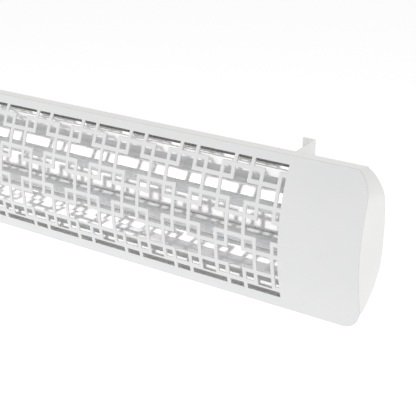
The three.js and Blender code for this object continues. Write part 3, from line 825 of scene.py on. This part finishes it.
def cap_edge():
    """Edge of the cap from the seam at the top round to its tip. Each point is (x, z, outward x,
    outward z, swell), and swell is the share of the rim's growth."""
    edge = []
    top_turn = math.asin((TOP_Z - TOP_CORNER_Z) / TOP_CORNER_RADIUS)
    for k in range(CAP_TOP_STEPS + 1):
        a = top_turn * (1 - k / CAP_TOP_STEPS)
        edge.append((TOP_CORNER_X + TOP_CORNER_RADIUS * math.cos(a),
                     TOP_CORNER_Z + TOP_CORNER_RADIUS * math.sin(a),
                     math.cos(a), math.sin(a), math.sin(math.pi * a / top_turn)))
    for z in steps_between(TOP_CORNER_Z, FOOT_CORNER_Z, CAP_SIDE_STEP)[1:] + [FOOT_CORNER_Z]:
        edge.append((HALF, z, 1, 0, 0))
    foot_turn = math.asin((FOOT_CORNER_Z - CAP_TIP[1]) / CORNER_RADIUS)
    for k in range(1, CAP_FOOT_STEPS + 1):
        a = -foot_turn * k / CAP_FOOT_STEPS
        edge.append((FOOT_CORNER_X + CORNER_RADIUS * math.cos(a),
                     FOOT_CORNER_Z + CORNER_RADIUS * math.sin(a), 1, 0, 0))
    return edge


def end_cap(side):
    """The cap's end face, its rounded rear rim and its rear face as far as the seam."""
    sign = SIDES[side]
    rows = []
    for x, z, nx, nz, swell in cap_edge():
        front = face_y(z, SHEET + SEAM_GAP)
        depth = rear_y(z) - front
        reach = (x - SEAM_X) / nx
        rim = min(RIM_RADIUS + swell * CAP_RIM_GROWTH, RIM_MOST_OF_DEPTH * depth)
        row = [(x, front + (depth - rim) * k / CAP_DEPTH_STEPS, z) for k in range(CAP_DEPTH_STEPS + 1)]
        for a in quarter_turn(CAP_RIM_STEPS):
            inward = min(rim * (1 - math.cos(a)), reach)
            px, pz = x - nx * inward, z - nz * inward
            row.append((px, rear_y(pz) - rim * (1 - math.sin(a)), pz))
        for k in range(1, CAP_RIM_STEPS + 1):
            inward = min(rim, reach) + max(reach - rim, 0) * k / CAP_RIM_STEPS
            px, pz = x - nx * inward, z - nz * inward
            row.append((px, rear_y(pz), pz))
        rows.append([(sign * px, py, pz) for px, py, pz in row])
    bm = bmesh.new()
    grid_faces(bm, rows)
    bmesh.ops.remove_doubles(bm, verts=bm.verts, dist=10 * SAME_POINT)
    bmesh.ops.recalc_face_normals(bm, faces=bm.faces)
    outermost = max(bm.faces, key=lambda face: face.calc_center_median().x * sign)
    if outermost.normal.x * sign < 0:
        bmesh.ops.reverse_faces(bm, faces=bm.faces)
    bmesh.ops.solidify(bm, geom=bm.faces[:], thickness=SHEET)
    bmesh.ops.recalc_face_normals(bm, faces=bm.faces)
    round_edges(bm, CAP_EDGE_ROUND, segments=1, angle=60)
    return new_piece(f"end_cover_{side}", bm, "heater", "cap_paint", [f"end_cap_{side}"], smooth_angle=40)


rear_housing()
for side in SIDES:
    end_cap(side)
    refined(f"end_plate_{side}")
    refined(f"lamp_bulkhead_{side}")


# ---------------------------------------------------------------- reflector and lamps
def reflector(level, trough):
    """A polished sheet folded along its length."""
    node = f"reflector_{level}"
    line = filleted(trough, [REFLECTOR_FOLD] * (len(trough) - 2), FOLD_STEPS)
    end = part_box(node)[1].x / MM
    xs = steps_between(-end, end, LONG_STEP) + [end]
    bm = strip_along_x(line, offset_line(line, -REFLECTOR_SHEET), xs)
    return new_piece(f"{node}_folded", bm, "heater", "polished_reflector", [node], smooth_angle=60)


def quartz_tube(level):
    """An open tube with softened ends."""
    node = f"quartz_tube_{level}"
    x0, x1, y, z, radius = axis_of(node)
    bore = radius - TUBE_WALL
    inner, outer = 0.3, 0.4
    profile = [(x0, bore + inner), (x0 + inner, bore), (x1 - inner, bore), (x1, bore + inner),
               (x1, radius - outer), (x1 - outer, radius), (x0 + outer, radius), (x0, radius - outer),
               (x0, bore + inner)]
    bm = turned(profile, (1, 0, 0), (0, y, z), sides=64)
    return new_piece(f"lamp_tube_{level}", bm, "heater", "quartz", [node], smooth_angle=40)


def filament(level):
    """A wound coil with straight ends, held in the tube's bore by rings."""
    node = f"filament_{level}"
    x0, x1, y, z, _ = axis_of(node)
    tube_radius = axis_of(f"quartz_tube_{level}")[4]
    turns = int((x1 - x0 - 2 * COIL_END) / COIL_PITCH)
    path = [Vector((x0, y, z)), Vector((x0 + COIL_END - COIL_LEAD_IN, y, z))]
    for k in range(turns * COIL_STEPS + 1):
        a = 2 * math.pi * k / COIL_STEPS
        path.append(Vector((x0 + COIL_END + COIL_PITCH * k / COIL_STEPS,
                            y + COIL_RADIUS * math.sin(a), z + COIL_RADIUS * math.cos(a))))
    path += [Vector((x1 - COIL_END + COIL_LEAD_IN, y, z)), Vector((x1, y, z))]
    bm = bmesh.new()
    rows = grid_faces(bm, tube_rows(path, COIL_WIRE, 5), closed=True)
    bm.faces.new(rows[0])
    bm.faces.new(rows[-1])
    reach = tube_radius - TUBE_WALL - SUPPORT_CLEARANCE
    for k in range(SUPPORT_COUNT):
        x = x0 + (x1 - x0) * (k + 0.5) / SUPPORT_COUNT
        ring = [Vector((x, y + reach * math.cos(a), z + reach * math.sin(a)))
                for a in full_turn(SUPPORT_STEPS)]
        rows = tube_rows(ring + ring[:2], SUPPORT_WIRE, 6)[1:-1]
        grid_faces(bm, [*rows, rows[0]], closed=True)
    bmesh.ops.remove_doubles(bm, verts=bm.verts, dist=SAME_POINT)
    return new_piece(f"lamp_coil_{level}", bm, "heater", "filament", [node], smooth_angle=80)


def ceramic_cap(level, side):
    """Cap with a shallow groove, and a nose that has a flat on two sides."""
    node = f"ceramic_cap_{level}_{side}"
    x0, x1, y, z, radius = axis_of(node)
    length = x1 - x0
    edge = 0.8
    flat_share = 0.86

    def flats(angle):
        return min(1, flat_share / max(abs(math.cos(angle)), TINY))

    profile = [(0, 0), (0, radius - 1), (0.8, radius - 0.2), (1.2, radius),
               (5, radius), (5.4, radius - edge), (7, radius - edge), (7.4, radius),
               (length - 2, radius, flats), (length - 0.6, radius - edge, flats),
               (length, radius - 2, flats), (length, 0)]
    start = x0 if side == "right" else x1
    bm = turned(profile, (SIDES[side], 0, 0), (start, y, z))
    return new_piece(f"lamp_cap_{level}_{side}", bm, "heater", "ceramic", [node], smooth_angle=40)


reflector("upper", UPPER_TROUGH)
reflector("lower", LOWER_TROUGH)
for level in ("upper", "lower"):
    quartz_tube(level)
    filament(level)
    for side in SIDES:
        ceramic_cap(level, side)
        refined(f"lamp_holder_{level}_{side}", bevel=0.4)
    refined(f"near_lead_{level}", bevel=0.2)
    refined(f"far_lead_{level}", bevel=0.2)
refined("terminal_block", bevel=0.6, segments=3)


# ---------------------------------------------------------------- brackets and fixings
def wall_bracket(side):
    """The CAD's bracket, with its fold from the wall plate to the arm rounded on the outside."""
    node = f"wall_bracket_{side}"
    outer_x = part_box(node)[1 if side == "right" else 0].x / MM

    def is_fold(edge):
        return all(abs(v.co.x - outer_x) < SAME_CUT and abs(v.co.y) < SAME_CUT for v in edge.verts)

    refined(node, bevel=0.4, fold_radius=BRACKET_FOLD_RADIUS, is_fold=is_fold)


for side in SIDES:
    wall_bracket(side)
    refined(f"tilt_lug_{side}", bevel=0.35)


def lobed(angle, radius):
    """Share of the radius left by the finger hollows round a knob. The hollows are arcs, centred
    just outside the knob."""
    step = 2 * math.pi / KNOB_HOLLOWS
    turn = (angle % step) - step / 2
    centre = radius + KNOB_HOLLOW_OFFSET
    across = centre * math.sin(turn)
    if abs(across) >= KNOB_HOLLOW_RADIUS:
        return 1
    left = centre * math.cos(turn) - math.sqrt(KNOB_HOLLOW_RADIUS ** 2 - across ** 2)
    return min(1, left / radius)


def clamp_knob(side):
    """A lobed knob with a crowned front, open at the back for its threaded insert."""
    node = f"clamp_knob_{side}"
    sign = SIDES[side]
    x0, x1, y, z, radius = axis_of(node)
    start = x0 if sign > 0 else x1
    depth = x1 - x0
    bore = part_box(f"knob_insert_{side}")[1].z / MM - z + GAP
    front_wall = 3
    crown = 3.2
    grip = radius - 0.2

    def lobes(angle):
        return lobed(angle, radius)

    back = [(depth - front_wall, 0), (depth - front_wall, bore), (0.3, bore), (0, bore + 0.3),
            (0, radius - 1.2), (0.4, radius - 0.4), (1.0, radius), (1.6, radius), (2.2, radius - 0.3)]
    handle = [(2.4, radius - 0.5, lobes), (depth - crown, grip, lobes)]
    for a in quarter_turn(5):
        handle.append((depth - crown + crown * math.sin(a), grip - crown * (1 - math.cos(a)), lobes))
    dish = [(depth, 6.5), (depth - 0.5, 6.0), (depth - 0.5, 0)]
    bm = turned(back + handle + dish, (sign, 0, 0), (start, y, z), sides=144)
    return new_piece(f"knob_{side}_moulded", bm, f"knob_{side}", "knob_plastic", [node])


def pivot_bolt(side):
    """A bolt with a chamfered hexagon head."""
    node = f"pivot_bolt_{side}"
    sign = SIDES[side]
    x0, x1, y, z, _ = axis_of(node)
    start = x0 if sign > 0 else x1
    length = x1 - x0
    head, shank = 5.5, 3
    thick = 4
    profile = [(0, 0), (0, 3.4), (0.25, 3.8), (0.3, head - 0.7), (0.9, head, hexagon),
               (thick - 0.1, head, hexagon), (thick, head - 0.2, hexagon), (thick, shank),
               (length - 0.8, shank), (length, shank - 0.7), (length, 0)]
    bm = turned(profile, (sign, 0, 0), (start, y, z), sides=72)
    return new_piece(f"bolt_{side}_hex", bm, "heater", "fastener_steel", [node])


def washer(node, body, slot, bore):
    """A ring with rounded edges."""
    x0, x1, y, z, radius = axis_of(node)
    length = x1 - x0
    edge = min(0.3, length / 4)
    profile = [(0, bore + edge), (edge, bore), (length - edge, bore), (length, bore + edge),
               (length, radius - edge), (length - edge, radius), (edge, radius), (0, radius - edge),
               (0, bore + edge)]
    bm = turned(profile, (1, 0, 0), (x0, y, z), sides=64)
    return new_piece(f"{node}_turned", bm, body, slot, [node])


def drive_lobes(angle):
    """Six-lobed driver recess."""
    return 1 + 0.16 * math.cos(6 * angle)


def screw(node, direction, head_radius, head_height):
    """Pan-head screw whose head is at the end of its box that direction points to."""
    low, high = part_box(node)
    middle = (low + high) / 2 / MM
    along = Vector(direction)
    length = abs((high - low).dot(along)) / MM
    foot = middle - along * length / 2
    shank = 2
    recess = 1.35
    rise = head_height - 0.5
    under_head = length - head_height
    profile = [(0, 0), (0, shank - 0.8), (1.2, shank - 0.05), (under_head, shank),
               (under_head, head_radius - 0.15), (under_head + 0.15, head_radius)]
    for a in quarter_turn(6)[:-1]:
        profile.append((length - rise + rise * math.sin(a), head_radius * (0.42 + 0.58 * math.cos(a))))
    profile += [(length, recess + 0.2, drive_lobes), (length - 0.2, recess, drive_lobes),
                (length - 1.3, recess * 0.9, drive_lobes), (length - 1.5, 0)]
    bm = turned(profile, direction, foot, sides=60)
    return new_piece(f"{node}_pan_head", bm, "heater", "fastener_steel", [node])


def gland_ribs(angle):
    """Fine ribs round the gland's dome nut."""
    return 1 + 0.012 * math.cos(18 * angle)


def gland():
    """Cable gland with a hexagon flange outside the housing and a ribbed dome nut."""
    low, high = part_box("cable_gland")
    x, z = (low.x + high.x) / 2 / MM, (low.z + high.z) / 2 / MM
    foot, length = low.y / MM, (high.y - low.y) / MM
    across = (high.x - low.x) / 2 / MM
    bore = 4
    thread = 6
    shoulder = 9
    dome = 7.2
    profile = [(0, bore), (0, thread - 0.4), (0.4, thread), (shoulder, thread),
               (shoulder, across - 0.4, hexagon), (shoulder + 0.4, across, hexagon),
               (shoulder + 3.6, across, hexagon), (shoulder + 4, across - 0.6, hexagon),
               (shoulder + 4.2, dome + 0.4), (shoulder + 4.6, dome, gland_ribs),
               (length - 5, dome, gland_ribs), (length - 3, dome - 0.2, gland_ribs),
               (length - 1, 6.2), (length - 0.2, 5.4), (length, 5), (length - 0.6, 4.4),
               (length - 1, bore), (0, bore)]
    bm = turned(profile, (0, 1, 0), (x, foot, z), sides=144)
    new_piece("gland_body", bm, "heater", "gland_plastic", ["cable_gland"])


def gland_nut():
    """Hexagon locknut on the gland's thread, inside the housing."""
    low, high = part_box("gland_nut")
    x, z = (low.x + high.x) / 2 / MM, (low.z + high.z) / 2 / MM
    across, thick = (high.x - low.x) / 2 / MM, (high.y - low.y) / MM
    bore = 6.3
    profile = [(0, bore), (0, across - 0.8), (0.5, across, hexagon), (thick - 0.5, across, hexagon),
               (thick, across - 0.8), (thick, bore), (0, bore)]
    bm = turned(profile, (0, 1, 0), (x, low.y / MM, z), sides=72)
    new_piece("gland_locknut", bm, "heater", "gland_plastic", ["gland_nut"])


def stop_pin(side):
    """A headed pin, whose shank runs in the curved slot of the bracket's arm."""
    node = f"stop_pin_{side}"
    sign = SIDES[side]
    x0, x1, y, z, _ = axis_of(node)
    start = x0 if sign > 0 else x1
    length = x1 - x0
    head, shank = 3.5, 2
    thick = 2.7
    profile = [(0, 0), (0, 2.2), (0.3, 3), (0.8, head), (2.5, head), (thick, head - 0.2),
               (thick, shank), (length - 0.7, shank), (length - 0.2, 1.6), (length, 1.2), (length, 0)]
    bm = turned(profile, (sign, 0, 0), (start, y, z))
    return new_piece(f"stop_pin_{side}_turned", bm, "heater", "fastener_steel", [node])


gland()
gland_nut()
for side in SIDES:
    clamp_knob(side)
    pivot_bolt(side)
    stop_pin(side)
    washer(f"pivot_washer_{side}", "heater", "fastener_steel", bore=3.3)
    washer(f"knob_insert_{side}", f"knob_{side}", "knob_brass", bore=3.3)
    for level in ("top", "bottom"):
        screw(f"lug_screw_{level}_{side}", (0, 1, 0), head_radius=4, head_height=2.4)
for place in ("left", "middle", "right"):
    screw(f"face_screw_{place}", (0, 0, -1), head_radius=3.6, head_height=1.6)


# ---------------------------------------------------------------- studio
def floor():
    """A wide, faintly glowing white floor below the heater."""
    half = FLOOR_SIZE / 2
    height = cad_low.z - FLOOR_DROP
    bm = bmesh.new()
    grid_faces(bm, [[(half * u, half * v, height) for u in (-1, -0.5, 0, 0.5, 1)] for v in (-1, 0, 1)])
    mesh = bpy.data.meshes.new("floor")
    bm.to_mesh(mesh)
    bm.free()
    piece = bpy.data.objects.new("floor", mesh)
    bpy.context.scene.collection.objects.link(piece)
    surface = Surface("floor_paint", (0.93, 0.93, 0.93), roughness=0.9)
    surface.tinted(surface.even_noise(3, detail=2), (0.995, 0.995, 0.995), (1, 1, 1))
    surface.set("Emission Color", (1, 1, 1, 1))
    surface.set("Emission Strength", FLOOR_GLOW)
    mesh.materials.append(surface.material)


def softbox(name, place, target, size, watts):
    """A rectangular light that faces the target."""
    data = bpy.data.lights.new(name, "AREA")
    data.shape = "RECTANGLE"
    data.size, data.size_y = size
    data.energy = watts
    lamp = bpy.data.objects.new(name, data)
    lamp.location = place
    lamp.rotation_mode = "QUATERNION"
    lamp.rotation_quaternion = (Vector(target) - Vector(place)).to_track_quat("-Z", "Y")
    bpy.context.scene.collection.objects.link(lamp)


def camera():
    """Looks at the aim from the view's azimuth, elevation and distance."""
    azimuth, elevation = math.radians(VIEW_AZIMUTH), math.radians(VIEW_ELEVATION)
    back = Vector((math.sin(azimuth) * math.cos(elevation), -math.cos(azimuth) * math.cos(elevation),
                   math.sin(elevation)))
    aim = Vector(low + (high - low) * share for low, high, share in zip(cad_low, cad_high, VIEW_AIM))
    data = bpy.data.cameras.new("camera")
    data.lens = VIEW_LENS
    data.sensor_width = SENSOR_WIDTH
    data.clip_start, data.clip_end = CLIP_NEAR, CLIP_FAR
    eye = bpy.data.objects.new("camera", data)
    eye.location = aim + back * VIEW_DISTANCE
    eye.rotation_mode = "QUATERNION"
    eye.rotation_quaternion = (-back).to_track_quat("-Z", "Y")
    bpy.context.scene.collection.objects.link(eye)
    bpy.context.scene.camera = eye


def studio_world():
    """Even white light from all round."""
    world = bpy.data.worlds.new("studio")
    world.use_nodes = True
    background = world.node_tree.nodes["Background"]
    background.inputs["Color"].default_value = (1, 1, 1, 1)
    background.inputs["Strength"].default_value = WORLD_STRENGTH
    bpy.context.scene.world = world


floor()
camera()
studio_world()
for name, light in LIGHTS.items():
    softbox(name, *light)
bpy.context.scene.view_settings.view_transform = "Standard"
